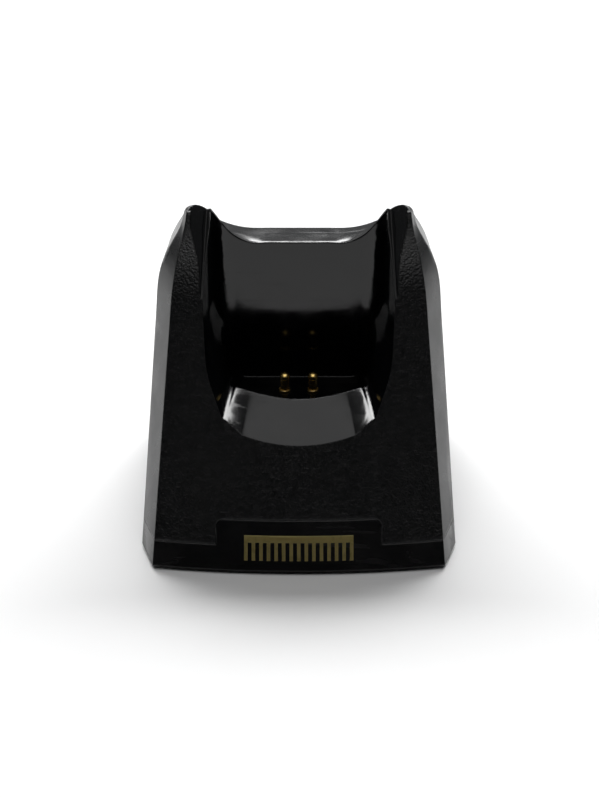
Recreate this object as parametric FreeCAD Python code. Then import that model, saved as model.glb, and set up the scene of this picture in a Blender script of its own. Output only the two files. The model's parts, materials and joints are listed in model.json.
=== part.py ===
import FreeCAD, Part
import os
from math import cos, pi, radians, sin, tan

# Charging stand for a cordless hair clipper, in millimetres.
# +X is to the right, +Y to the back, +Z up. The origin is on the table, in the middle of the footprint.
V = FreeCAD.Vector
UP = V(0, 0, 1)

# --- Outer form of the stand ---
overall_width = 84.4      # across the widest part of the base
overall_depth = 83.0      # bulge of the front to the back
overall_height = 80.6     # table to the tips of the horns
foot_height = 1.0         # how far the rubber feet hold the tray off the table
front_bow = 2.9           # how far the middle of the front bulges out past its two edges
front_lean_deg = 30.75    # the front face leans back by this
horn_lean_deg = 47.0      # the front of the horns leans back more
horn_bend_height = 64.0   # height where the front face starts to bend back to the horns
horn_bend = 5.0           # the bend takes this much height
rear_lean_deg = 8.6  # the back leans forward by this
front_draft_deg = 4.7     # each edge of the front face leans inwards by this
side_draft_deg = 4.0      # each side leans inwards by this
band_depth = 10.6         # the slanted side band beside the front, front to back
band_width = 3.3          # how far the band widens the body on each side
rear_taper = 1.5          # each side is this much nearer the middle at the back
rear_corner_r = 12.0
band_taper = 0.85         # share of the band's depth lost from the shoulder to the horns
rear_corner_taper = 0.55  # share of the rear corners' radius lost in the same way
horn_above_rim = 14.6     # the horns stand this much higher than the middle of the rear rim
horn_length = 13.0        # the fall from the horns to the rear rim takes this much depth
bevel_bottom = (26.2, 62.5)    # inner bevel of a horn: half width and height of its lower tip, on the front
bevel_top = (30.0, 80.6)       # and of its upper end
bevel_back = (24.6, 10.0)      # half width of its rear edge at the upper end, and how far back that is
solid_above = 72.0        # the shell is hollow up to this height, and the horns above it are solid
horn_half = 27.0          # half the distance between the tips of the horns
horn_fall = 0.12          # outside its tip a horn falls by this times the square of the distance
shoulder_drop = 19.6      # the sides start to round in this far below the horns
side_shoulder_slope = 0.52
front_shoulder_slope = 0.2
shoulder_blend = 10.0  # height over which the shoulder's slope builds up
rim_flat_half = 12.0      # the rear rim is level for this far each side of the middle
rim_rise = 0.028          # and then rises by this times the square of the distance
top_edge_r = 1.5          # radius along the top of horns and rim
wall = 2.4                # moulded wall of housing and tray
seam_gap = 0.12           # gap between the housing and the tray

# --- Well that the clipper's tail stands in ---
lip_height = 27.9  # front lip of the well, in the middle
lip_crease = (16.0, 2.5)  # crease in the floor: half width, height above the lip's middle
lip_corner = (20.9, 7.1)  # floor meets wall: half width, height above the lip's middle
lip_kink = (25.1, 16.5)  # the wall gets steeper
lip_top = (29.0, 69.1)  # wall at the height above the horns where the cutting shape ends
cut_back = 48.5  # the cutting shape ends here, from the front edge at the base, level with the floor
cut_lean_deg = 5.0  # and leans back by this
rear_lip = 14.6  # the rising floor reaches this much above the lip where the cutting shape ends
rear_crease = (9.4, -0.7)
rear_corner = (16.6, -5.7)
rear_kink = (23.4, 10.7)
rear_top = (24.8, 53.0)
well_rear_gap = 9.7  # rear rim: from the well's rear wall to the back of the stand
well_rear_lean_deg = 5.0
well_corner_r = 7.4       # upright corners at the back of the well
floor_corner_r = 3.0      # where the floor turns up into the wall
kink_r = 30.0
pocket_floor = 25.4       # floor of the pocket that the contacts stand in
pocket_front = 29.4       # from the front edge at the base to the crest, in the middle, at crest_height
pocket_front_r = 45.0     # the crest curves back by this radius
crest_height = 36.0
pocket_floor_half = 17.2
pocket_wall = ((18.2, 11.0), (23.4, 29.0))   # half width and height above the floor
pocket_corner_r = 3.0

# --- Tray ---
seam_height = 6.9         # top of the tray's skirt
tab_half = 22.0           # raised tab in the middle of the front
tab_height = 12.6
tab_corner_r = 2.1
tray_floor = 2.0
tongue = 1.2              # upright tongue on the tray that centres the housing
tongue_height = 1.6
tongue_gap = 0.15

# --- Badge: a plain comb sign on the tab ---
badge_half = 14.5
badge_bottom = 3.6
badge_height = 5.6
badge_spine = 1.5
badge_proud = 0.25
comb_teeth = 15
comb_tooth = 0.95

# --- Contacts ---
contact_spacing = 7.7
contact_back = 44.0       # contact axes, from the front edge at the base
contact_top = 34.3
head_r = 1.35
head_dome = 0.7
column_r = 1.25
flange_r = 1.6
flange_top = 29.4
flange_thick = 1.1
stem_r = 0.75
stem_gap = 0.05           # running clearance of the stem in its guide

# --- Contact carrier under the recess ---
carrier_half = 8.4
carrier_depth = 9.0
carrier_height = 9.6
guide_length = 2.4        # top web of the carrier that guides the stems
spring_r = 1.35           # middle of the wire
spring_wire = 0.32
spring_turns = 6
spring_well_r = 1.9
clip_r = 1.7
clip_thick = 0.4
clip_slot = 0.8
groove_r = 0.5
terminal_thick = 0.4
ear_half = 16.4
ear_thick = 2.0
carrier_screw_half = 13.2
floor_boss_r = 2.6
floor_boss_length = 4.0

# --- Screws ---
housing_screw_r = 1.45
housing_screw_head_r = 2.6
small_screw_r = 1.0
small_head_r = 1.9
screw_head = 1.6
screw_gap = 0.02          # a screw's thread in its own hole
clearance_gap = 0.25      # a screw's shank in a clearance hole
drive_r = 0.9             # cross recess

# --- Housing posts, feet, ballast, board ---
post_r = 3.4
post_half_front = 32.0
post_back_front = 24.0
post_half_rear = 33.4
post_back_rear = 57.0
post_height = 17.0
rib = 1.6                 # rib from each post to the side wall
screw_bite = 8.0
foot_r = 4.6
foot_recess = 0.7
foot_half = 29.5
foot_back_front = 10.5
foot_back_rear = 70.5
ballast_half = 22.0
ballast_depth = 24.0
ballast_thick = 4.5
ballast_back = 9.5
ballast_screw_half = 14.0
boss_r = 2.9
board_half = 20.0
board_depth = 18.0
board_thick = 1.6
board_lift = 2.5
board_to_back = 6.5       # from the board's rear edge to the back of the stand at the base
board_screw_half = 16.0

# --- Power socket ---
socket_width = 9.0
socket_height = 10.6
socket_length = 13.0
socket_bore_r = 3.2
socket_bore = 9.6
socket_pin_r = 1.0
socket_pin_length = 8.4
socket_root_r = 1.4       # thicker end of the centre pin that is moulded into the socket
inlet_r = 4.2             # round opening in the back of the housing

# --- Leads and label ---
lead_r = 0.6
label_width = 34.0
label_depth = 18.0
label_thick = 0.15

# --- Worked out from the sizes above ---
front_y = -overall_depth / 2 + front_bow
back_y = overall_depth / 2
side_half = overall_width / 2
rim_height = overall_height - horn_above_rim
front_run = tan(radians(front_lean_deg))
rear_run = tan(radians(rear_lean_deg))
contact_y = front_y + contact_back
crest_y = front_y + pocket_front
well_rear_run = tan(radians(well_rear_lean_deg))
rim_back_y = back_y - (rim_height - foot_height) * rear_run
well_rear_y = rim_back_y - well_rear_gap
floor_under = pocket_floor - wall
top_of_tray = foot_height + tray_floor


def polygon_face(points):
    return Part.Face(Part.makePolygon(list(points) + [points[0]]))


def box(x0, x1, y0, y1, z0, z1):
    return Part.makeBox(x1 - x0, y1 - y0, z1 - z0, V(x0, y0, z0))


def cylinder(r, x, y, z0, z1):
    return Part.makeCylinder(r, z1 - z0, V(x, y, z0), UP)


def fuse(shapes):
    whole = shapes[0].multiFuse(shapes[1:]) if len(shapes) > 1 else shapes[0]
    return whole.removeSplitter()


def one_solid(shape):
    return max(shape.Solids, key=lambda solid: solid.Volume)


def rounded_wire(points, radii):
    """Closed wire through the points, with each corner turned into an arc of its radius."""
    edges = []
    count = len(points)
    ends = []
    for i in range(count):
        before = (points[i - 1] - points[i]).normalize()
        after = (points[(i + 1) % count] - points[i]).normalize()
        if radii[i] == 0:
            ends.append((points[i], points[i], None))
            continue
        half = before.getAngle(after) / 2
        reach = radii[i] / tan(half)
        middle = (before + after).normalize()
        centre = points[i] + middle * (radii[i] / sin(half))
        ends.append((points[i] + before * reach, points[i] + after * reach, centre - middle * radii[i]))
    for i in range(count):
        start, end, mid = ends[i]
        if mid is not None:
            edges.append(Part.Arc(start, mid, end).toShape())
        edges.append(Part.LineSegment(end, ends[(i + 1) % count][0]).toShape())
    return Part.Wire(edges)


# --- Outer form ---

def shoulder(height, slope):
    """How far a side has rounded in at this height: none, then a growing slope, then a steady one."""
    over = height - (overall_height - shoulder_drop)
    if over <= 0:
        return 0
    if over < shoulder_blend:
        return slope * over * over / (2 * shoulder_blend)
    return slope * (over - shoulder_blend / 2)


def front_at(height):
    """Depth of the front face's side edges at a height: one lean, a bend, and the horns' lean."""
    over = height - horn_bend_height
    y = front_y + (height - foot_height) * front_run
    if over <= 0:
        return y
    extra = tan(radians(horn_lean_deg)) - front_run
    if over < horn_bend:
        return y + extra * over * over / (2 * horn_bend)
    return y + extra * (over - horn_bend / 2)


def outline(height, inset):
    """Outline of the body at a height, moved inwards by the inset."""
    rise = height - foot_height
    over = max(0, height - (overall_height - shoulder_drop)) / shoulder_drop
    y0 = front_at(height) + inset / cos(radians(front_lean_deg))
    y1 = y0 + band_depth * (1 - band_taper * over)
    y2 = back_y - rise * rear_run - inset
    front = side_half - band_width - rise * tan(radians(front_draft_deg)) - shoulder(height, front_shoulder_slope)
    side = side_half - rise * tan(radians(side_draft_deg)) - shoulder(height, side_shoulder_slope)
    front = front - inset
    side = side - inset
    rear = side - rear_taper
    r = rear_corner_r * (1 - rear_corner_taper * over) - inset
    far = r * (1 - cos(pi / 4))
    corners = [V(front, y0, height), V(side, y1, height), V(rear, y2 - r, height), V(rear - r, y2, height)]
    mirror = [V(-p.x, p.y, p.z) for p in reversed(corners)]
    bend = V(rear - far, y2 - far, height)
    return Part.Wire([
        Part.Arc(mirror[3], V(0, y0 - front_bow, height), corners[0]).toShape(),
        Part.LineSegment(corners[0], corners[1]).toShape(),
        Part.LineSegment(corners[1], corners[2]).toShape(),
        Part.Arc(corners[2], bend, corners[3]).toShape(),
        Part.LineSegment(corners[3], mirror[0]).toShape(),
        Part.Arc(mirror[0], V(-bend.x, bend.y, height), mirror[1]).toShape(),
        Part.LineSegment(mirror[1], mirror[2]).toShape(),
        Part.LineSegment(mirror[2], mirror[3]).toShape(),
    ])


def body(inset):
    """The stand's outer form as a block, before the top is cut to its saddle."""
    step = (overall_height + 3 - 2 * inset - foot_height) / 12
    heights = [foot_height + step * k for k in range(13)]
    return Part.makeLoft([outline(h, inset) for h in heights], True, False)


def saddle_height(x, y):
    """Height of the top surface: level with the horns in front, falling to the curved rear rim."""
    beside = max(0, abs(x) - rim_flat_half)
    rim = rim_height + rim_rise * beside * beside
    length = horn_length * min(1, max(0.3, abs(x) / horn_half))
    along = min(1, max(0, (y - front_at(overall_height)) / length))
    outside = max(0, abs(x) - horn_half)
    horn = overall_height - horn_fall * outside * outside
    return rim + (horn - rim) * (0.5 + 0.5 * cos(pi * along))


def above_saddle(lower):
    """Everything above the top surface, with that surface moved down by the given amount."""
    step = horn_length / 6
    rows = [front_at(overall_height) + step * k for k in range(-16, 20)]
    columns = [side_half * k / 10 for k in range(-12, 13)]
    surface = Part.BSplineSurface()
    surface.interpolate([[V(x, y, saddle_height(x, y) - lower) for x in columns] for y in rows])
    return surface.toShape().extrude(V(0, 0, overall_height))


# --- Well ---

def well_section(crease, corner, kink, top, base_z, place, grow):
    """U-shaped section of the well; place turns a half width and a height into a point."""
    points = [(-top[0] - grow, base_z + top[1]), (-kink[0] - grow, base_z + kink[1]),
              (-corner[0] - grow, base_z + corner[1] - grow), (-crease[0], base_z + crease[1] - grow)]
    right = [(-x, z) for x, z in reversed(points)]
    radii = [0, kink_r, floor_corner_r, 0]
    floor = Part.Arc(place(*points[3]), place(0, base_z - grow), place(*right[0])).toShape()
    open_wire = rounded_wire([place(*p) for p in points + right], radii + radii[::-1])
    edges = open_wire.OrderedEdges
    kept = [edge for edge in edges if not (
        edge.firstVertex(True).Point.isEqual(place(*points[3]), 1e-6)
        and edge.lastVertex(True).Point.isEqual(place(*right[0]), 1e-6))]
    return Part.Wire(Part.__sortEdges__(kept + [floor]))


def mirrored_points(points):
    """The points followed by their mirror images, as one closed outline."""
    return points + [V(-p.x, p.y, p.z) for p in reversed(points)]


def pocket(grow):
    """Pocket behind the crest: its plan has a curved front and round rear corners, its floor is flat."""
    half = rear_top[0] + grow
    r = well_corner_r + grow
    side = half + r
    y0 = crest_y - crest_height * well_rear_run - grow
    y1 = well_rear_y - rim_height * well_rear_run + grow
    sag = (pocket_front_r + grow) * (1 - cos(half / (pocket_front_r + grow)))
    sides = rounded_wire([V(half, y0 + sag, 0), V(half, y1, 0), V(-half, y1, 0), V(-half, y0 + sag, 0)],
                         [0, r, r, 0])
    open_sides = [e for e in sides.OrderedEdges if e.BoundBox.YMax > y0 + sag + 1e-3]
    front = Part.Arc(V(-half, y0 + sag, 0), V(0, y0, 0), V(half, y0 + sag, 0)).toShape()
    plan = Part.Face(Part.Wire(Part.__sortEdges__(open_sides + [front])))
    floor = pocket_floor - grow
    low, high = pocket_wall
    section = mirrored_points([V(-side, -overall_depth, 2 * overall_height),
                               V(-rear_top[0] - grow, -overall_depth, overall_height + pocket_floor),
                               V(-high[0] - grow, -overall_depth, pocket_floor + high[1]),
                               V(-low[0] - grow, -overall_depth, pocket_floor + low[1]),
                               V(-pocket_floor_half - grow, -overall_depth, floor)])
    r = pocket_corner_r + grow
    section = Part.Face(rounded_wire(section, [0, 0, kink_r, 0, r, r, 0, kink_r, 0, 0]))
    return plan, section.extrude(V(0, 3 * overall_depth, 0))


def well(grow):
    """Space of the well, or with grow that space and the wall around it, as its two overlapping parts."""
    ahead = 4.0

    def front_place(x, z):
        return V(x, front_y - front_bow - ahead + (z - foot_height) * front_run, z)

    def rear_place(x, z):
        return V(x, front_y + cut_back + grow + (z - pocket_floor) * tan(radians(cut_lean_deg)), z)

    front = well_section(lip_crease, lip_corner, lip_kink, lip_top, lip_height, front_place, grow)
    rear = well_section(rear_crease, rear_corner, rear_kink, rear_top, lip_height + rear_lip, rear_place, grow)
    trough = Part.makeLoft([front, rear], True, True)
    plan, across = pocket(grow)
    tall = 2 * overall_height
    lean = plan.extrude(V(0, tall * well_rear_run, tall))
    return [trough, lean.common(across)]


# --- Housing and tray ---

def horn_bevel(side):
    """Wedge that takes off the inner front edge of a horn: nothing at its lower tip, most at the top."""
    low = V(bevel_bottom[0], front_at(bevel_bottom[1]) - front_bow / 2, bevel_bottom[1])
    high = V(bevel_top[0], front_at(bevel_top[1]), bevel_top[1])
    back = V(bevel_back[0], high.y + bevel_back[1], high.z)
    low = low - (high - low) * 0.05
    high = low + (high - low) * 1.4
    back = low + (back - low) * 1.4
    corners = [V(side * p.x, p.y, p.z) for p in (low, high, back)]
    away = V(-side * 0.74, -0.4, 0.54)
    return polygon_face(corners).extrude(away * 14)


def outer_form():
    """The closed outer form with its saddle top, rounded edges and bevelled horns, without the well."""
    form = body(0).cut(above_saddle(0))
    form = form.makeFillet(top_edge_r, [e for e in form.Edges if e.BoundBox.ZMin > rim_height - 4])
    return form.cut(horn_bevel(1)).cut(horn_bevel(-1))


def tab_block(grow):
    """Upright block that bounds the tray's raised tab, with its two rounded top corners."""
    block = box(-tab_half - grow, tab_half + grow, front_y - 2 * front_bow, front_y + 5 * wall,
                seam_height - 1 - grow, tab_height + grow)
    corners = [e for e in block.Edges if e.BoundBox.YLength > wall and e.BoundBox.ZMin > seam_height]
    return block.makeFillet(tab_corner_r + grow, corners)


def above(height):
    return box(-overall_width, overall_width, -overall_depth, overall_depth, height, 2 * overall_height)


def post_places():
    places = []
    for half, back in ((post_half_front, post_back_front), (post_half_rear, post_back_rear)):
        places = places + [(-half, front_y + back), (half, front_y + back)]
    return places


def upper_housing(form, cavity, well_space):
    shell = form.cut(well_space).cut(cavity)
    rib_bottom = seam_height + tongue_height + clearance_gap
    posts = []
    for x, y in post_places():
        outward = 1 if x > 0 else -1
        edge = outward * side_half
        top = seam_height + post_height
        posts.append(cylinder(post_r, x, y, seam_height, top))
        posts.append(box(min(x, edge), max(x, edge), y - rib / 2, y + rib / 2, rib_bottom, top).common(form))
    for x in (-carrier_screw_half, carrier_screw_half):
        posts.append(cylinder(floor_boss_r, x, contact_y, floor_under - floor_boss_length, floor_under + wall / 2))
    shell = shell.fuse(posts).common(above(seam_height)).cut(tab_block(seam_gap))
    holes = []
    for x, y in post_places():
        holes.append(cylinder(housing_screw_r + screw_gap, x, y, 0, seam_height + screw_bite + 1))
    for x in (-carrier_screw_half, carrier_screw_half):
        holes.append(cylinder(small_screw_r + screw_gap, x, contact_y, 0, floor_under))
    for x in (-contact_spacing / 2, contact_spacing / 2):
        holes.append(cylinder(stem_r + clearance_gap, x, contact_y, 0, pocket_floor + 1))
    holes.append(Part.makeCylinder(inlet_r, overall_depth, V(0, socket_y1 - 1, socket_z), V(0, 1, 0)))
    return one_solid(shell.cut(Part.makeCompound(holes)).removeSplitter())


def screw_seat():
    """Height of the face that the heads of the housing screws press against."""
    return foot_height + screw_head + 0.8


def base_tray(form, cavity):
    inner = wall + tongue_gap + tongue
    skirt = form.cut(above(seam_height - seam_gap)).cut(body(inner).common(above(top_of_tray)))
    ring = body(wall + tongue_gap).cut(body(inner))
    ring = ring.common(above(seam_height - wall)).cut(above(seam_height + tongue_height)).cut(tab_block(1))
    tab = form.cut(body(wall)).common(tab_block(0))
    pieces = [skirt, ring, tab]
    for x, y in post_places():
        pieces.append(cylinder(post_r, x, y, foot_height, seam_height))
    for x in (-ballast_screw_half, ballast_screw_half):
        pieces.append(cylinder(boss_r, x, ballast_y, foot_height, top_of_tray + ballast_thick))
    for x in (-board_screw_half, board_screw_half):
        pieces.append(cylinder(boss_r, x, board_y, foot_height, top_of_tray + board_lift))
    tray = fuse(pieces)
    holes = []
    for x, y in post_places():
        holes.append(cylinder(housing_screw_head_r + clearance_gap, x, y, 0, screw_seat()))
        holes.append(cylinder(housing_screw_r + clearance_gap, x, y, 0, seam_height + 1))
    for x, y in foot_places():
        holes.append(cylinder(foot_r + tongue_gap, x, y, 0, foot_height + foot_recess))
    for x in (-ballast_screw_half, ballast_screw_half):
        holes.append(cylinder(small_screw_r + screw_gap, x, ballast_y, top_of_tray, overall_height / 2))
    for x in (-board_screw_half, board_screw_half):
        holes.append(cylinder(small_screw_r + screw_gap, x, board_y, top_of_tray, overall_height / 2))
    return one_solid(tray.cut(Part.makeCompound(holes)))


def foot_places():
    places = []
    for back in (foot_back_front, foot_back_rear):
        places = places + [(-foot_half, front_y + back), (foot_half, front_y + back)]
    return places


def rubber_foot(x, y):
    foot = cylinder(foot_r, x, y, 0, foot_height + foot_recess)
    return foot.makeFillet(foot_height / 3, [e for e in foot.Edges if e.BoundBox.ZMax < foot_height / 2])


def comb_badge():
    """Comb sign that follows the tab's curve and stands slightly proud of it."""
    bottom = badge_bottom
    front = front_y - 2 * front_bow
    back = front_y + 5 * wall
    sign = [box(-badge_half, badge_half, front, back, bottom + badge_height - badge_spine, bottom + badge_height)]
    pitch = (2 * badge_half - comb_tooth) / (comb_teeth - 1)
    for i in range(comb_teeth):
        x = -badge_half + i * pitch
        sign.append(box(x, x + comb_tooth, front, back, bottom, bottom + badge_height))
    return one_solid(fuse(sign).common(body(-badge_proud)).cut(body(0)))


# --- Fasteners ---

def screw(shank_r, head_r, length, x, y, seat, up):
    """Pan head screw whose head rests on the seat; up tells which way its shank points."""
    head = Part.makeCylinder(head_r, screw_head)
    head = head.makeFillet(screw_head / 3, [e for e in head.Edges if e.BoundBox.ZMax < 0.1])
    drive = box(-drive_r, drive_r, -drive_r / 4, drive_r / 4, 0, screw_head / 2)
    drive = drive.fuse(box(-drive_r / 4, drive_r / 4, -drive_r, drive_r, 0, screw_head / 2))
    shank = Part.makeCylinder(shank_r, length, V(0, 0, screw_head))
    tip = [e for e in shank.Edges if e.BoundBox.ZMin > screw_head + length / 2 and e.BoundBox.ZLength < 0.1]
    whole = head.fuse(shank.makeChamfer(shank_r / 3, tip)).cut(drive)
    if not up:
        whole = whole.mirror(V(0, 0, screw_head), UP)
    whole.translate(V(x, y, seat - screw_head))
    return whole


def screw_group(solids):
    return Part.makeCompound([one_solid(s) for s in solids])


# --- Ballast, board and power socket ---

def ballast_plate():
    y0 = ballast_y - ballast_depth / 2
    plate = box(-ballast_half, ballast_half, y0, y0 + ballast_depth, top_of_tray, top_of_tray + ballast_thick)
    plate = plate.makeFillet(2, [e for e in plate.Edges if e.BoundBox.ZLength > ballast_thick / 2])
    for x in (-ballast_screw_half, ballast_screw_half):
        plate = plate.cut(cylinder(boss_r + tongue_gap, x, ballast_y, 0, overall_height))
    return plate


def circuit_board():
    board = box(-board_half, board_half, board_y - board_depth / 2, board_y + board_depth / 2,
                board_z, board_z + board_thick)
    for x in (-board_screw_half, board_screw_half):
        board = board.cut(cylinder(small_screw_r + clearance_gap, x, board_y, 0, overall_height))
    return board


def power_socket():
    half = socket_width / 2
    block = box(-half, half, socket_y1 - socket_length, socket_y1, board_top, board_top + socket_height)
    block = block.makeFillet(0.8, [e for e in block.Edges if e.BoundBox.YLength > half and e.BoundBox.ZMin > socket_z])
    bore = Part.makeCylinder(socket_bore_r, socket_bore, V(0, socket_y1 - socket_bore, socket_z), V(0, 1, 0))
    slot = box(-1, 1, socket_y1 - socket_bore, socket_y1 - 1.5, socket_z - socket_bore_r - 0.8, socket_z)
    hole = Part.makeCylinder(socket_root_r, socket_length, V(0, socket_y1 - socket_length, socket_z), V(0, 1, 0))
    return block.cut(bore).cut(slot).cut(hole)


def power_socket_pin():
    start = socket_y1 - socket_length
    bottom = socket_y1 - socket_bore
    root = Part.makeCylinder(socket_root_r, bottom - start, V(0, start, socket_z), V(0, 1, 0))
    free = Part.makeCylinder(socket_pin_r, socket_pin_length, V(0, bottom, socket_z), V(0, 1, 0))
    pin = fuse([root, free])
    tip = [e for e in pin.Edges if e.BoundBox.YMin > socket_y1 - socket_bore + 1 and e.BoundBox.YLength < 0.1]
    return pin.makeFillet(socket_pin_r / 2, tip)


def power_socket_spring():
    """Leaf in the socket's lower slot that presses on the outside of a plug."""
    low = socket_z - socket_bore_r - 0.8
    y0 = socket_y1 - socket_bore
    y1 = socket_y1 - 1.5
    leaf = polygon_face([V(-0.9, y0, low), V(-0.9, y1, low), V(-0.9, y1, low + 0.3),
                         V(-0.9, y1 - 2.5, low + 1.1), V(-0.9, y0, low + 0.3)])
    return leaf.extrude(V(1.8, 0, 0))


def protection_diode():
    x, y, z = diode_place
    body_r = 1.3
    reach = 4.6
    lead = 0.35
    along = V(1, 0, 0)
    diode = Part.makeCylinder(body_r, 2 * reach - 3.6, V(x - reach + 1.8, y, z + body_r), along)
    wires = [Part.makeCylinder(lead, 2 * reach, V(x - reach, y, z + body_r), along)]
    for end in (x - reach, x + reach):
        wires.append(cylinder(lead, end, y, z, z + body_r))
        wires.append(Part.makeSphere(lead, V(end, y, z + body_r)))
    return one_solid(fuse([diode] + wires))


# --- Contacts ---

def contact_carrier():
    y0 = contact_y - carrier_depth / 2
    block = box(-carrier_half, carrier_half, y0, y0 + carrier_depth, carrier_z, floor_under)
    ear_z = floor_under - floor_boss_length - ear_thick
    ears = box(-ear_half, ear_half, contact_y - 3, contact_y + 3, ear_z, ear_z + ear_thick)
    ears = ears.makeFillet(2.9, [e for e in ears.Edges if e.BoundBox.ZLength > ear_thick / 2])
    carrier = fuse([block, ears])
    for x in (-contact_spacing / 2, contact_spacing / 2):
        carrier = carrier.cut(cylinder(spring_well_r, x, contact_y, 0, floor_under - guide_length))
        carrier = carrier.cut(cylinder(stem_r + stem_gap, x, contact_y, 0, overall_height))
    for x in (-carrier_screw_half, carrier_screw_half):
        carrier = carrier.cut(cylinder(small_screw_r + clearance_gap, x, contact_y, 0, overall_height))
    return carrier


def contact_pin(x):
    """Turned pin: domed head, column, flange, and a stem with a groove for its clip."""
    head_under = contact_top - 1.5
    stem_end = clip_top - clip_thick - 1.0
    profile = [(0, contact_top), (head_r, contact_top - head_dome), (head_r, head_under), (column_r, head_under),
               (column_r, flange_top), (flange_r, flange_top), (flange_r, flange_top - flange_thick),
               (stem_r, flange_top - flange_thick), (stem_r, clip_top), (groove_r, clip_top),
               (groove_r, clip_top - clip_thick), (stem_r, clip_top - clip_thick), (stem_r, stem_end), (0, stem_end)]
    points = [V(r, 0, z) for r, z in profile]
    dome = Part.Arc(points[0], V(head_r * 0.7, 0, contact_top - head_dome * 0.35), points[1]).toShape()
    sides = [Part.LineSegment(a, b).toShape() for a, b in zip(points[1:], points[2:] + points[:1])]
    pin = Part.Face(Part.Wire([dome] + sides)).revolve(V(0, 0, 0), UP, 360)
    pin = Part.makeSolid(Part.Shell(pin.Faces)) if not pin.Solids else pin.Solids[0]
    pin.translate(V(x, contact_y, 0))
    return pin


def contact_clip(x):
    clip = cylinder(clip_r, x, contact_y, clip_top - clip_thick, clip_top)
    clip = clip.cut(cylinder(groove_r + screw_gap, x, contact_y, 0, overall_height))
    return one_solid(clip.cut(box(x - clip_slot / 2, x + clip_slot / 2, contact_y, contact_y + 2 * clip_r,
                                  0, overall_height)))


def contact_spring(x):
    """Coil spring between the clip and the terminal."""
    low = terminal_top + spring_wire / 2
    high = clip_top - clip_thick - spring_wire / 2
    helix = Part.makeHelix((high - low) / spring_turns, high - low, spring_r)
    ring = Part.Wire(Part.makeCircle(spring_wire / 2, V(spring_r, 0, 0), V(0, 1, 0)))
    coil = Part.Wire(helix.Edges).makePipeShell([ring], True, True)
    coil.translate(V(x, contact_y, low))
    return coil


def contact_terminal(x):
    """Disc pressed into the carrier under the spring, with a solder tag below."""
    disc = cylinder(spring_well_r, x, contact_y, carrier_z, terminal_top)
    tag = box(x - 0.9, x + 0.9, contact_y - terminal_thick / 2, contact_y + terminal_thick / 2,
              carrier_z - 2.8, carrier_z)
    return fuse([disc, tag])


def lead_path(side):
    """Route of a lead: out of the solder tag, up over the board's edge and down to its pad."""
    x = side * contact_spacing / 2
    start = V(x, contact_y + terminal_thick / 2, carrier_z - 1.6)
    pad = V(side * 8.5, board_y - 6.5, board_top)
    return [start, start + V(0, 7, 0), pad + V(0, 0, start.z - pad.z), pad]


def lead(side):
    """Insulated wire along straight runs joined by tangent arcs."""
    points = lead_path(side)
    edges = []
    here = points[0]
    for before, corner, after in zip(points, points[1:], points[2:]):
        back = (before - corner)
        on = (after - corner)
        half = back.getAngle(on) / 2
        reach = 0.45 * min(back.Length, on.Length)
        back.normalize()
        on.normalize()
        middle = (back + on).normalize()
        r = reach * tan(half)
        print("lead bend radius", round(r, 2))
        enter = corner + back * reach
        leave = corner + on * reach
        centre = corner + middle * (r / sin(half))
        edges.append(Part.LineSegment(here, enter).toShape())
        edges.append(Part.Arc(enter, centre - middle * r, leave).toShape())
        here = leave
    edges.append(Part.LineSegment(here, points[-1]).toShape())
    path = Part.Wire(edges)
    ring = Part.Wire(Part.makeCircle(lead_r, points[0], points[1] - points[0]))
    tube = path.makePipeShell([ring], True, False)
    print("lead volume over section times length", round(tube.Volume / (pi * lead_r ** 2 * path.Length), 4))
    return tube


def rating_label():
    """Blank label on the underside."""
    label = box(-label_width / 2, label_width / 2, -label_depth / 2, label_depth / 2,
                foot_height - label_thick, foot_height)
    return label.makeFillet(1.5, [e for e in label.Edges if e.BoundBox.ZLength > label_thick / 2])


# --- Places of the inner pieces ---
ballast_y = front_y + ballast_back + ballast_depth / 2
board_y = back_y - board_to_back - board_depth / 2
board_z = top_of_tray + board_lift
board_top = board_z + board_thick
socket_z = board_top + socket_height / 2
socket_y1 = back_y - (board_top + socket_height - foot_height) * rear_run - wall / cos(radians(rear_lean_deg)) - 0.2
diode_place = (-11.0, board_y + 5.0, board_top)
carrier_z = floor_under - carrier_height
clip_top = floor_under - guide_length - 0.1
terminal_top = carrier_z + 1.0

# --- Build every piece and write it to its own file ---
form = outer_form()
well_space = well(0)
cavity = body(wall).cut(above_saddle(wall)).cut(well(wall)).cut(above(solid_above))
pieces = {
    "upper_housing": upper_housing(form, cavity, well_space),
    "base_tray": base_tray(form, cavity),
    "comb_badge": comb_badge(),
    "housing_screws": screw_group([
        screw(housing_screw_r, housing_screw_head_r, seam_height + screw_bite - screw_seat(), x, y, screw_seat(), True)
        for x, y in post_places()]),
    "ballast_plate": ballast_plate(),
    "ballast_screws": screw_group([
        screw(small_screw_r, boss_r + 1.3, ballast_thick - 0.5, x, ballast_y, top_of_tray + ballast_thick, False)
        for x in (-ballast_screw_half, ballast_screw_half)]),
    "circuit_board": circuit_board(),
    "board_screws": screw_group([
        screw(small_screw_r, small_head_r, board_lift + board_thick - 0.5, x, board_y, board_top, False)
        for x in (-board_screw_half, board_screw_half)]),
    "power_socket": power_socket(),
    "power_socket_pin": power_socket_pin(),
    "power_socket_spring": power_socket_spring(),
    "protection_diode": protection_diode(),
    "contact_carrier": contact_carrier(),
    "carrier_screws": screw_group([
        screw(small_screw_r, small_head_r, ear_thick + floor_boss_length - 0.6, x, contact_y,
              floor_under - floor_boss_length - ear_thick, True)
        for x in (-carrier_screw_half, carrier_screw_half)]),
    "lead_positive": lead(1),
    "lead_negative": lead(-1),
    "rating_label": rating_label(),
}
for end, places in (("front", foot_places()[:2]), ("rear", foot_places()[2:])):
    for side, place in zip(("left", "right"), places):
        pieces["rubber_foot_" + end + "_" + side] = rubber_foot(*place)
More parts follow.
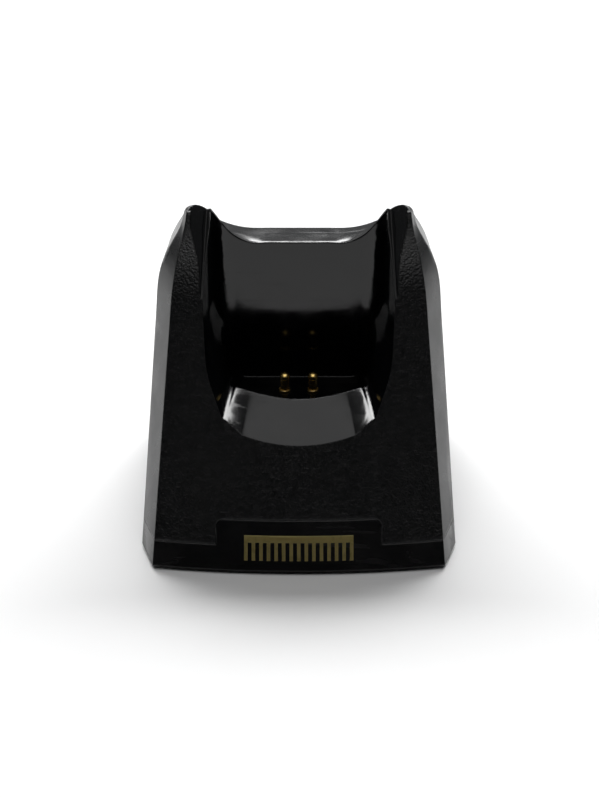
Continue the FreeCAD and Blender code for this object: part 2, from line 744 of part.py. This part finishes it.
for side, x in (("left", -contact_spacing / 2), ("right", contact_spacing / 2)):
    pieces["contact_pin_" + side] = contact_pin(x)
    pieces["contact_clip_" + side] = contact_clip(x)
    pieces["contact_spring_" + side] = contact_spring(x)
    pieces["contact_terminal_" + side] = contact_terminal(x)

os.makedirs("parts", exist_ok=True)
for name, shape in pieces.items():
    print(name, len(shape.Solids), shape.isValid(), round(shape.Volume, 2))
    shape.exportStep("parts/" + name + ".step")
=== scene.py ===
# %% [markdown]
# # A charging stand for a hair clipper
# The stand is a black moulded shell on a shallow tray. A clipper stands with its tail in the
# U-shaped well, and two gold contacts behind a ramp touch the clipper and charge it.
# The shapes were made as exact solids in a CAD program, so this lesson starts from them
# and spends its time on finishes, light and camera.

# %% Load the exact solids
import json
import math

import bpy
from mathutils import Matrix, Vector


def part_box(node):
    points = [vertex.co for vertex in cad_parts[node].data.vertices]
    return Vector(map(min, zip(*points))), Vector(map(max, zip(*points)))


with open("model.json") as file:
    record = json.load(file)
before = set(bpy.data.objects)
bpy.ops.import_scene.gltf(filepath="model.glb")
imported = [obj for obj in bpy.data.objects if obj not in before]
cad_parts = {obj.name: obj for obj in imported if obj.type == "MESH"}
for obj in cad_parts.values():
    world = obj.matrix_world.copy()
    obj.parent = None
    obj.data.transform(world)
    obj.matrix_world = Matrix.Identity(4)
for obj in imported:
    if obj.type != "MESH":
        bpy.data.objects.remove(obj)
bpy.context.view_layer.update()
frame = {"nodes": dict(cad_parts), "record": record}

nodes = frame["nodes"]
print("pieces loaded:", len(nodes))

# %% [markdown]
# ## Smooth shading on welded corners
# A CAD program writes each face with corners of its own, so a highlight can break where two
# faces meet smoothly. One way to mend that is to remesh, which would lose the exact shape.
# Instead each piece gets three modifiers: Weld joins the doubled corners, Edge Split keeps
# the edges that are truly sharp, and Weighted Normal leans each corner's normal towards the
# large flat faces. The mesh itself stays as it was.

# %% Weld, split and weight every piece
SHARP_ANGLE = math.radians(28)
WELD_DISTANCE = 2e-6


def smooth_piece(piece):
    """Even shading across faces that meet smoothly."""
    mesh = piece.data
    mesh.attributes.remove(mesh.attributes["custom_normal"])
    mesh.attributes.remove(mesh.attributes["sharp_edge"])
    mesh.polygons.foreach_set("use_smooth", [True] * len(mesh.polygons))
    weld = piece.modifiers.new("join doubled corners", "WELD")
    weld.merge_threshold = WELD_DISTANCE
    split = piece.modifiers.new("keep sharp edges", "EDGE_SPLIT")
    split.split_angle = SHARP_ANGLE
    split.use_edge_sharp = False
    weighted = piece.modifiers.new("lean to large faces", "WEIGHTED_NORMAL")
    weighted.keep_sharp = True


for piece in nodes.values():
    smooth_piece(piece)
print("modifiers on the housing:", [m.name for m in nodes["upper_housing"].modifiers])

# %% [markdown]
# ## A few words for building shader nodes
# Shader trees are wired from code here. Two small helpers keep that readable: one makes a
# node and fills in its values, and one chains Math nodes. A socket can be given either a
# number or the output of another node.

# %% Node helpers


def node(tree, kind, values=None, **settings):
    """A shader node with its settings, and with numbers or other sockets put into its inputs."""
    made = tree.nodes.new("ShaderNode" + kind)
    for name, value in settings.items():
        setattr(made, name, value)
    for name, value in (values or {}).items():
        plug(tree, made.inputs[name], value)
    return made


def plug(tree, socket, value):
    """Sets a socket to a plain value, or links it to another node's output."""
    if isinstance(value, bpy.types.NodeSocket):
        tree.links.new(value, socket)
    else:
        socket.default_value = value


def maths(tree, operation, a, b=0.0, clamp=False):
    """The output of one Math node."""
    return node(tree, "Math", {0: a, 1: b}, operation=operation, use_clamp=clamp).outputs[0]


def ramp(tree, value, low, high, out_low=0.0, out_high=1.0):
    """A value carried smoothly from one range to another."""
    made = node(tree, "MapRange", {"Value": value, "From Min": low, "From Max": high,
                                   "To Min": out_low, "To Max": out_high},
                interpolation_type="SMOOTHSTEP")
    return made.outputs["Result"]


def mix_colour(tree, factor, a, b):
    """Colour a where the factor is 0 and colour b where it is 1."""
    made = node(tree, "Mix", {"Factor": factor, 6: a, 7: b}, data_type="RGBA")
    return made.outputs[2]


print("helpers ready:", node.__name__, plug.__name__, maths.__name__, ramp.__name__, mix_colour.__name__)

# %% [markdown]
# ## Effects that several finishes share
# Dust, handling scratches, mould grain and rounded edges turn up on many pieces. Each is a
# node group with named inputs, built once and placed in every material that needs it, with
# that material's own values. A group only works out masks, heights and normals. The shader
# itself stays in the material.

# %% Start a group


def start_group(name, inputs, outputs):
    """An empty node group with float inputs {name: default} and outputs [(name, kind)]."""
    group = bpy.data.node_groups.new(name, "ShaderNodeTree")
    for label, default in inputs.items():
        socket = group.interface.new_socket(name=label, in_out="INPUT", socket_type="NodeSocketFloat")
        socket.default_value = default
    for label, kind in outputs:
        group.interface.new_socket(name=label, in_out="OUTPUT", socket_type="NodeSocket" + kind)
    ends = group.nodes.new("NodeGroupInput"), group.nodes.new("NodeGroupOutput")
    return group, ends[0].outputs, ends[1].inputs


def object_place(tree):
    """Where a point is on the object, in metres."""
    return node(tree, "TexCoord").outputs["Object"]


# %% [markdown]
# ### Mould grain
# The outer front of the shell has a fine leather-like grain: small raised cells of uneven
# size that the mould was etched with. Voronoi cells give the cells, and a noise bends their
# outlines so that they don't look like a honeycomb.

# %% Mould grain group
grain, grain_in, grain_out = start_group(
    "mould grain", {"Cells per metre": 1900.0, "Unevenness": 0.5},
    [("Height", "Float"), ("Fleck", "Float")])
grain_place = object_place(grain)
bend = node(grain, "TexNoise", {"Vector": grain_place, "Scale": 900.0, "Detail": 2.0})
bend_small = node(grain, "VectorMath", {0: bend.outputs["Color"], "Scale": 0.0007}, operation="SCALE")
bent = node(grain, "VectorMath", {0: grain_place, 1: bend_small.outputs[0]}, operation="ADD")
cells = node(grain, "TexVoronoi", {"Vector": bent.outputs[0], "Scale": grain_in["Cells per metre"]},
             feature="SMOOTH_F1")
fine = node(grain, "TexNoise", {"Vector": grain_place, "Scale": 4200.0, "Detail": 3.0, "Roughness": 0.6})
dome = ramp(grain, cells.outputs["Distance"], 0.75, 0.1)
uneven = maths(grain, "MULTIPLY", fine.outputs["Fac"], grain_in["Unevenness"])
grain.links.new(maths(grain, "ADD", dome, uneven), grain_out["Height"])
grain.links.new(ramp(grain, cells.outputs["Color"], 0.35, 0.8), grain_out["Fleck"])
print("group:", grain.name, len(grain.nodes), "nodes")

# %% [markdown]
# ### Handling scratches
# Gloss plastic and plated metal pick up hair-thin scratches from wiping and from the clipper.
# Noise that is stretched about eighty times along one direction gives lines. Two directions
# are laid over each other, and only the highest values of each are kept, so the lines stay
# sparse.

# %% Scratch group
scratches, scratch_in, scratch_out = start_group(
    "handling scratches", {"Lines per metre": 900.0, "Share": 0.12},
    [("Mask", "Float")])
scratch_place = object_place(scratches)
layers = []
for number, turn in enumerate((0.5, -0.9)):
    stretched = node(scratches, "Mapping", {"Vector": scratch_place, "Rotation": (0.3 * number, 0.2, turn),
                                            "Scale": (0.012, 1.0, 0.5)})
    lines = node(scratches, "TexNoise", {"Vector": stretched.outputs[0],
                                         "Scale": scratch_in["Lines per metre"], "Detail": 1.0})
    patches = node(scratches, "TexNoise", {"Vector": scratch_place, "Scale": 55.0 + 20 * number})
    floor_level = maths(scratches, "SUBTRACT", 0.74, scratch_in["Share"])
    above = maths(scratches, "SUBTRACT", lines.outputs["Fac"], floor_level)
    line = maths(scratches, "MULTIPLY", above, 14.0, clamp=True)
    layers.append(maths(scratches, "MULTIPLY", line, ramp(scratches, patches.outputs["Fac"], 0.48, 0.62)))
scratches.links.new(maths(scratches, "MAXIMUM", layers[0], layers[1]), scratch_out["Mask"])
print("group:", scratches.name, len(scratches.nodes), "nodes")

# %% [markdown]
# ### Settled dust
# Dust lies on what faces up and in places that a cloth misses. The mask takes the upward part
# of the normal and multiplies it by a cloudy noise and by small specks.

# %% Dust group
dust, dust_in, dust_out = start_group(
    "settled dust", {"Amount": 0.5, "Specks per metre": 1500.0},
    [("Mask", "Float")])
dust_place = object_place(dust)
facing = node(dust, "SeparateXYZ", {0: node(dust, "NewGeometry").outputs["Normal"]})
upward = ramp(dust, facing.outputs["Z"], 0.35, 0.95)
clouds = node(dust, "TexNoise", {"Vector": dust_place, "Scale": 70.0, "Detail": 4.0})
specks = node(dust, "TexVoronoi", {"Vector": dust_place, "Scale": dust_in["Specks per metre"]})
speck = ramp(dust, specks.outputs["Distance"], 0.16, 0.06)
haze = maths(dust, "MULTIPLY", ramp(dust, clouds.outputs["Fac"], 0.42, 0.7), 0.35)
lying = maths(dust, "MULTIPLY", maths(dust, "ADD", haze, maths(dust, "MULTIPLY", speck, 0.5)), upward)
dust.links.new(maths(dust, "MULTIPLY", lying, dust_in["Amount"], clamp=True), dust_out["Mask"])
print("group:", dust.name, len(dust.nodes), "nodes")

# %% [markdown]
# ### Rounded edges
# A moulded edge always has a small radius, and on black plastic that radius is what one sees:
# a thin bright line. Real bevels on every edge of a fine CAD mesh are slow and can fold, so
# the Bevel node bends the normal near an edge instead. Comparing the bent normal with the true
# one also gives a mask of where edges are, which is where handling polishes or wears a finish.

# %% Edge group
edges, edge_in, edge_out = start_group(
    "rounded edges", {"Radius": 0.0004}, [("Normal", "Vector"), ("Edge", "Float")])
rounded = node(edges, "Bevel", {"Radius": edge_in["Radius"]}, samples=6)
true_normal = node(edges, "NewGeometry").outputs["Normal"]
alike = node(edges, "VectorMath", {0: rounded.outputs[0], 1: true_normal}, operation="DOT_PRODUCT")
edges.links.new(rounded.outputs[0], edge_out["Normal"])
edges.links.new(ramp(edges, alike.outputs["Value"], 0.995, 0.8), edge_out["Edge"])
print("group:", edges.name, len(edges.nodes), "nodes")

# %% [markdown]
# ## Starting a material
# Every finish begins in the same way: a Principled BSDF, and the groups it needs. The helper
# returns them, and the cells below wire in what is special to each finish.

# %% Material helper


def start_material(name, **fixed):
    """A new material with its Principled BSDF. Fixed values go straight onto the shader's sockets."""
    for old in [m for m in bpy.data.materials if m.name == name]:
        old.name = name + " as loaded"
    material = bpy.data.materials.new(name)
    material.use_nodes = True
    tree = material.node_tree
    shader = tree.nodes["Principled BSDF"]
    for label, value in fixed.items():
        shader.inputs[label.replace("_", " ")].default_value = value
    return tree, shader


def effect(tree, group, **values):
    """One shared effect placed in a material, with that material's own values."""
    placed = node(tree, "Group", node_tree=group)
    for label, value in values.items():
        placed.inputs[label.replace("_", " ")].default_value = value
    return placed.outputs


def bump(tree, height, depth, strength=1.0, under=None):
    """A normal bent by a height. Depth is in metres."""
    made = node(tree, "Bump", {"Height": height, "Distance": depth, "Strength": strength})
    if under is not None:
        tree.links.new(under, made.inputs["Normal"])
    return made.outputs["Normal"]


def rgba(r, g, b):
    """A colour as a socket wants it."""
    return (r, g, b, 1.0)


print("shared effects:", [g.name for g in (grain, scratches, dust, edges)])

# %% [markdown]
# ## The shell: one moulding, three textures
# The shell is one black moulding, but its mould was finished in three ways: grained on the
# front and on the fronts of the horns, satin on the slanted bands, sides and back, and
# polished inside the well, on the ramp and along the rim. Painting a map by hand would be
# slow and would need unwrapping. The faces point in clearly different directions instead, so
# the direction of the normal tells which texture a point has.

# %% Where the front, the sides and the well are
FRONT_LEAN = math.radians(32)
FRONT_DIRECTION = (0.0, -math.cos(FRONT_LEAN), math.sin(FRONT_LEAN))
HORN_LEAN = math.radians(47)
HORN_DIRECTION = (0.0, -math.cos(HORN_LEAN), math.sin(HORN_LEAN))
DUSTY_ROUGHNESS = 0.7
SHELL_BLACK = (0.0016, 0.0018, 0.0022, 1.0)
GRAIN_DEPTH = 0.00009


def faces_along(tree, direction, low, high):
    """1 where the surface faces along the direction, and 0 where it turns away."""
    geometry = node(tree, "NewGeometry").outputs["Normal"]
    along = node(tree, "VectorMath", {0: geometry, 1: direction}, operation="DOT_PRODUCT")
    return ramp(tree, along.outputs["Value"], low, high)


shell_low, shell_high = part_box("upper_housing")
print("shell from", [round(v, 4) for v in shell_low], "to", [round(v, 4) for v in shell_high])

# %% Shell material
tree, shader = start_material("housing_black", Specular_IOR_Level=0.42)
edge = effect(tree, edges, Radius=0.0006)
leather = effect(tree, grain)
lines = effect(tree, scratches, Lines_per_metre=700.0, Share=0.1)
lint = effect(tree, dust, Amount=0.2)
grained = maths(tree, "MAXIMUM", faces_along(tree, FRONT_DIRECTION, 0.94, 0.975),
                faces_along(tree, HORN_DIRECTION, 0.95, 0.985))
place = node(tree, "SeparateXYZ", {0: object_place(tree)})
normal_parts = node(tree, "SeparateXYZ", {0: node(tree, "NewGeometry").outputs["Normal"]})
outward = maths(tree, "MULTIPLY", normal_parts.outputs["X"], maths(tree, "SIGN", place.outputs["X"]))
sideways = ramp(tree, outward, 0.55, 0.8)
backward = ramp(tree, normal_parts.outputs["Y"], 0.6, 0.85)
satin = maths(tree, "MAXIMUM", sideways, backward)
soft = node(tree, "TexNoise", {"Vector": object_place(tree), "Scale": 160.0, "Detail": 5.0})
gloss_rough = ramp(tree, soft.outputs["Fac"], 0.3, 0.7, 0.07, 0.13)
satin_rough = ramp(tree, soft.outputs["Fac"], 0.3, 0.7, 0.26, 0.34)
grain_rough = ramp(tree, leather["Fleck"], 0.0, 1.0, 0.34, 0.29)
rough = node(tree, "Mix", {"Factor": satin, 2: gloss_rough, 3: satin_rough}).outputs[0]
rough = node(tree, "Mix", {"Factor": grained, 2: rough, 3: grain_rough}).outputs[0]
scratched = maths(tree, "MULTIPLY", lines["Mask"], 0.5)
rough = node(tree, "Mix", {"Factor": scratched, 2: rough, 3: 0.4}).outputs[0]
rough = node(tree, "Mix", {"Factor": lint["Mask"], 2: rough, 3: DUSTY_ROUGHNESS}).outputs[0]
fine_orange = node(tree, "TexNoise", {"Vector": object_place(tree), "Scale": 450.0, "Detail": 2.0})
ripple = bump(tree, fine_orange.outputs["Fac"], 0.000006, under=edge["Normal"])
height = maths(tree, "MULTIPLY", leather["Height"], grained)
plug(tree, shader.inputs["Normal"], bump(tree, height, GRAIN_DEPTH, under=ripple))
plug(tree, shader.inputs["Roughness"], rough)
worn = mix_colour(tree, maths(tree, "MULTIPLY", edge["Edge"], 0.4), SHELL_BLACK,
                  rgba(0.006, 0.006, 0.007))
plug(tree, shader.inputs["Base Color"], mix_colour(tree, lint["Mask"], worn, rgba(0.09, 0.085, 0.08)))
print("housing_black:", len(tree.nodes), "nodes")

# %% [markdown]
# ## The tray
# The tray's skirt and its raised tab are smooth and half-glossy, without grain. Its gloss is
# broken by fine ripples from the mould, by a few scratches low down where it gets pushed
# about, and by dust on its narrow upper edge.

# %% Tray material
tree, shader = start_material("tray_black")
edge = effect(tree, edges, Radius=0.0005)
lines = effect(tree, scratches, Lines_per_metre=800.0, Share=0.12)
lint = effect(tree, dust, Amount=0.4)
soft = node(tree, "TexNoise", {"Vector": object_place(tree), "Scale": 130.0, "Detail": 4.0})
rough = ramp(tree, soft.outputs["Fac"], 0.3, 0.7, 0.17, 0.25)
scratched = maths(tree, "MULTIPLY", lines["Mask"], 0.6)
rough = node(tree, "Mix", {"Factor": scratched, 2: rough, 3: 0.45}).outputs[0]
rough = node(tree, "Mix", {"Factor": lint["Mask"], 2: rough, 3: DUSTY_ROUGHNESS}).outputs[0]
fine_orange = node(tree, "TexNoise", {"Vector": object_place(tree), "Scale": 520.0, "Detail": 2.0})
plug(tree, shader.inputs["Normal"], bump(tree, fine_orange.outputs["Fac"], 0.000008, under=edge["Normal"]))
plug(tree, shader.inputs["Roughness"], rough)
worn = mix_colour(tree, maths(tree, "MULTIPLY", edge["Edge"], 0.5), rgba(0.0045, 0.0045, 0.005),
                  rgba(0.014, 0.014, 0.015))
plug(tree, shader.inputs["Base Color"], mix_colour(tree, lint["Mask"], worn, rgba(0.18, 0.17, 0.16)))
print("tray_black:", len(tree.nodes), "nodes")

# %% [markdown]
# ## Metals
# The metals differ in colour, in how rough they are and in the direction of their fine lines:
# gold plating on turned contacts, dull gold foil on the badge, zinc on screws, bare steel on
# the ballast, nickel, spring wire and tinned brass. One function makes them all from those
# values. Turned pieces get rings along Z, rolled ones get lines along X.

# %% Metals from a table of values


def metal(name, colour, worn_colour, rough, streaks, streak_depth, share, dust_amount, radius):
    """A metal finish with stretched streaks, scratches, worn edges and a little dust."""
    tree, shader = start_material(name, Metallic=1.0)
    edge = effect(tree, edges, Radius=radius)
    lines = effect(tree, scratches, Lines_per_metre=2500.0, Share=share)
    lint = effect(tree, dust, Amount=dust_amount, Specks_per_metre=2600.0)
    drawn = node(tree, "Mapping", {"Vector": object_place(tree), "Scale": streaks})
    grain_lines = node(tree, "TexNoise", {"Vector": drawn.outputs[0], "Scale": 1.0, "Detail": 4.0})
    stains = node(tree, "TexNoise", {"Vector": object_place(tree), "Scale": 600.0, "Detail": 3.0})
    value = ramp(tree, grain_lines.outputs["Fac"], 0.3, 0.7, rough * 0.75, rough * 1.3)
    scratched = maths(tree, "MULTIPLY", lines["Mask"], 0.5)
    value = node(tree, "Mix", {"Factor": scratched, 2: value, 3: 0.5}).outputs[0]
    plug(tree, shader.inputs["Roughness"],
         node(tree, "Mix", {"Factor": lint["Mask"], 2: value, 3: 0.8}).outputs[0])
    stained = mix_colour(tree, ramp(tree, stains.outputs["Fac"], 0.45, 0.75), rgba(*colour),
                         rgba(*[c * 0.8 for c in colour]))
    rubbed = mix_colour(tree, maths(tree, "MULTIPLY", edge["Edge"], 0.6), stained, rgba(*worn_colour))
    plug(tree, shader.inputs["Base Color"], mix_colour(tree, lint["Mask"], rubbed, rgba(0.2, 0.19, 0.18)))
    plug(tree, shader.inputs["Normal"],
         bump(tree, grain_lines.outputs["Fac"], streak_depth, under=edge["Normal"]))
    print(name + ":", len(tree.nodes), "nodes, roughness about", rough)


RINGS = (300.0, 300.0, 14000.0)
ROLLED = (200.0, 7000.0, 7000.0)
FLECKED = (3500.0, 3500.0, 3500.0)
metal("contact_gold", (0.90, 0.64, 0.22), (0.97, 0.80, 0.46), 0.27, RINGS, 0.000003, 0.08, 0.2, 0.00015)
metal("badge_gold", (0.52, 0.43, 0.17), (0.62, 0.53, 0.26), 0.42, FLECKED, 0.00001, 0.06, 0.3, 0.0001)
metal("screw_steel", (0.50, 0.50, 0.52), (0.66, 0.66, 0.67), 0.3, FLECKED, 0.000005, 0.16, 0.3, 0.0002)
metal("ballast_steel", (0.26, 0.26, 0.27), (0.45, 0.45, 0.46), 0.45, ROLLED, 0.00001, 0.2, 0.5, 0.0003)
metal("contact_nickel", (0.72, 0.70, 0.66), (0.8, 0.79, 0.76), 0.2, RINGS, 0.000003, 0.1, 0.2, 0.0001)
metal("spring_steel", (0.52, 0.52, 0.53), (0.68, 0.68, 0.68), 0.25, FLECKED, 0.000003, 0.1, 0.2, 0.0001)
metal("terminal_brass", (0.66, 0.52, 0.28), (0.74, 0.62, 0.4), 0.3, ROLLED, 0.000004, 0.12, 0.2, 0.0001)

# %% [markdown]
# ## Rubber, label and the plastics inside
# The rest are matt or half-matt and not metal. They share one function too: each has a
# colour that drifts a little, a pitted or grained surface at its own scale, and dust. The
# board's copper tracks, the diode's band and the label's border are patterns worked out from
# position, and are wired in after the function has made the material.

# %% Matt finishes from a table of values


def matt(name, colour, drift, rough, grain_scale, depth, dust_amount, radius=0.0003):
    """A plastic or rubber finish. Returns the tree, the socket under the dust and its colour."""
    tree, shader = start_material(name)
    edge = effect(tree, edges, Radius=radius)
    lint = effect(tree, dust, Amount=dust_amount)
    cloudy = node(tree, "TexNoise", {"Vector": object_place(tree), "Scale": 240.0, "Detail": 4.0})
    pits = node(tree, "TexNoise", {"Vector": object_place(tree), "Scale": grain_scale, "Detail": 3.0})
    drifted = mix_colour(tree, ramp(tree, cloudy.outputs["Fac"], 0.35, 0.65), rgba(*colour),
                         rgba(*[min(1.0, c * drift) for c in colour]))
    value = ramp(tree, pits.outputs["Fac"], 0.3, 0.7, rough * 0.85, min(1.0, rough * 1.2))
    plug(tree, shader.inputs["Roughness"],
         node(tree, "Mix", {"Factor": lint["Mask"], 2: value, 3: 0.85}).outputs[0])
    plug(tree, shader.inputs["Normal"], bump(tree, pits.outputs["Fac"], depth, under=edge["Normal"]))
    coat = node(tree, "Mix", {"Factor": lint["Mask"], 6: drifted, 7: rgba(0.2, 0.19, 0.18)}, data_type="RGBA")
    plug(tree, shader.inputs["Base Color"], coat.outputs[2])
    print(name + ":", len(tree.nodes), "nodes, roughness about", rough)
    return tree, coat.inputs[6], drifted


matt("foot_rubber", (0.022, 0.022, 0.023), 1.6, 0.72, 2600.0, 0.00003, 0.9)
matt("socket_black", (0.02, 0.02, 0.021), 1.4, 0.5, 1800.0, 0.00002, 0.5)
matt("carrier_white", (0.72, 0.70, 0.64), 0.92, 0.48, 900.0, 0.00001, 0.4)
matt("lead_red", (0.42, 0.02, 0.02), 0.8, 0.42, 1200.0, 0.00001, 0.3)
matt("lead_black", (0.014, 0.014, 0.015), 1.5, 0.42, 1200.0, 0.00001, 0.3)

# %% Copper tracks under the board's green lacquer
tree, before_dust, lacquer = matt("board_green", (0.018, 0.11, 0.045), 0.85, 0.33, 1500.0, 0.000008, 0.4)
tracks = node(tree, "TexBrick", {"Vector": object_place(tree), "Scale": 190.0, "Mortar Size": 0.09,
                                 "Color1": rgba(0, 0, 0), "Color2": rgba(0, 0, 0), "Mortar": rgba(1, 1, 1)})
plug(tree, before_dust, mix_colour(tree, maths(tree, "MULTIPLY", tracks.outputs["Fac"], 0.6), lacquer,
                                   rgba(0.06, 0.2, 0.07)))
print("tracks laid on", tree.name)

# %% A pale band on one end of the diode
tree, before_dust, body_colour = matt("diode_black", (0.02, 0.02, 0.022), 1.3, 0.4, 2200.0, 0.00001, 0.3)
diode_low, diode_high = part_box("protection_diode")
BAND_SHARE = 0.36
BAND_HALF_WIDTH = 0.0005
band_x = diode_low.x + BAND_SHARE * (diode_high.x - diode_low.x)
diode_x = node(tree, "SeparateXYZ", {0: object_place(tree)}).outputs["X"]
away = maths(tree, "ABSOLUTE", maths(tree, "SUBTRACT", diode_x, band_x))
in_band = ramp(tree, away, BAND_HALF_WIDTH, BAND_HALF_WIDTH * 0.8)
plug(tree, before_dust, mix_colour(tree, in_band, body_colour, rgba(0.55, 0.55, 0.53)))
print("band at x =", round(band_x, 4))

# %% A blank silver label with a fine border
tree, before_dust, silver = matt("label_silver", (0.50, 0.50, 0.51), 0.93, 0.36, 3000.0, 0.000004, 0.3)
label_low, label_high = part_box("rating_label")
label_parts = node(tree, "SeparateXYZ", {0: object_place(tree)})
BORDER_INSET = 0.0016
BORDER_WIDTH = 0.0002
distances = []
for axis in (0, 1):
    middle = (label_low[axis] + label_high[axis]) / 2
    half = (label_high[axis] - label_low[axis]) / 2 - BORDER_INSET
    from_middle = maths(tree, "ABSOLUTE", maths(tree, "SUBTRACT", label_parts.outputs[axis], middle))
    distances.append(maths(tree, "SUBTRACT", from_middle, half))
to_border = maths(tree, "ABSOLUTE", maths(tree, "MAXIMUM", distances[0], distances[1]))
plug(tree, before_dust, mix_colour(tree, ramp(tree, to_border, BORDER_WIDTH, BORDER_WIDTH / 2), silver,
                                   rgba(0.03, 0.03, 0.03)))
print("border", BORDER_INSET, "m inside the label's edge")

# %% [markdown]
# ## Putting the finishes on
# The record that came with the solids names a finish for each piece, so there is nothing to
# choose here: each piece's slot takes the material with that name.

# %% One material for each piece
finish_of = {part["node"]: part["material_slot"] for part in frame["record"]["subparts"]}
for name, piece in nodes.items():
    piece.data.materials.clear()
    piece.data.materials.append(bpy.data.materials[finish_of[name]])
print("finishes in use:", len(set(finish_of.values())))

# %% [markdown]
# ## Floor and light
# Black gloss plastic shows hardly anything of its own colour: it shows the room. The front
# faces the viewer, so the room behind the viewer is kept dark and the front stays deep black.
# A large soft box hangs overhead, where the ramp and the horns' fronts mirror it. A second one
# behind the stand washes the floor, and the pale floor and the brighter room behind give the
# side bands and the rim their grey.

# %% Floor
FLOOR_HALF = 3.0
floor_mesh = bpy.data.meshes.new("floor")
floor_mesh.from_pydata([(-FLOOR_HALF, -FLOOR_HALF, 0), (FLOOR_HALF, -FLOOR_HALF, 0),
                        (FLOOR_HALF, FLOOR_HALF, 0), (-FLOOR_HALF, FLOOR_HALF, 0)], [], [(0, 1, 2, 3)])
floor = bpy.data.objects.new("floor", floor_mesh)
bpy.context.scene.collection.objects.link(floor)
tree, shader = start_material("pale paper", Roughness=0.9, Specular_IOR_Level=0.1)
fibre = node(tree, "TexNoise", {"Vector": object_place(tree), "Scale": 30.0, "Detail": 4.0})
plug(tree, shader.inputs["Base Color"], mix_colour(tree, fibre.outputs["Fac"], rgba(0.9, 0.9, 0.9),
                                                   rgba(0.93, 0.93, 0.93)))
floor_mesh.materials.append(bpy.data.materials["pale paper"])
print("floor", 2 * FLOOR_HALF, "m across")

# %% Room: dark behind the viewer, pale behind the stand
world = bpy.data.worlds.new("studio room")
bpy.context.scene.world = world
world.use_nodes = True
room = world.node_tree
direction = node(room, "SeparateXYZ", {0: node(room, "TexCoord").outputs["Generated"]})
brightness = ramp(room, direction.outputs["Y"], 0.2, 0.9, 0.012, 0.5)
plug(room, room.nodes["Background"].inputs["Strength"], brightness)
plug(room, room.nodes["Background"].inputs["Color"], (0.97, 0.985, 1.0, 1.0))
print("room made")

# %% Soft boxes


def soft_box(name, place, towards, width, depth, power):
    """A rectangular area light aimed at a point."""
    light = bpy.data.lights.new(name, "AREA")
    light.shape = "RECTANGLE"
    light.size = width
    light.size_y = depth
    light.energy = power
    lamp = bpy.data.objects.new(name, light)
    lamp.location = place
    lamp.rotation_euler = (Vector(towards) - Vector(place)).to_track_quat("-Z", "Y").to_euler()
    bpy.context.scene.collection.objects.link(lamp)
    return lamp


STAND_FOOT = (0.0, 0.0, 0.0)
overhead = soft_box("overhead soft box", (0.0, -0.08, 0.92), (0.0, -0.08, 0.0), 0.8, 0.95, 2.6)
wash = soft_box("floor wash", (0.0, 1.45, 1.3), STAND_FOOT, 2.8, 0.6, 70.0)
print("lights:", overhead.name, wash.name)

# %% [markdown]
# ## Camera
# The camera stands in front of the stand, 0.7 m away and about 31 degrees above the horizon,
# with a long lens, so that the upright lines stay nearly parallel. A small shift lifts the
# stand in the frame without tilting it.

# %% Camera
ELEVATION = math.radians(30.8)
DISTANCE = 0.7
AIM = Vector((0.0, 0.0, 0.040))
camera_data = bpy.data.cameras.new("camera")
camera_data.lens = 116.5
camera_data.sensor_width = 36.0
camera_data.shift_x = 0.0009
camera_data.shift_y = -0.0421
camera = bpy.data.objects.new("camera", camera_data)
camera.location = AIM + Vector((0.0, -math.cos(ELEVATION), math.sin(ELEVATION))) * DISTANCE
camera.rotation_euler = (AIM - camera.location).to_track_quat("-Z", "Y").to_euler()
bpy.context.scene.collection.objects.link(camera)
bpy.context.scene.camera = camera
bpy.context.scene.view_settings.view_transform = "Standard"
print("camera at", [round(v, 3) for v in camera.location])
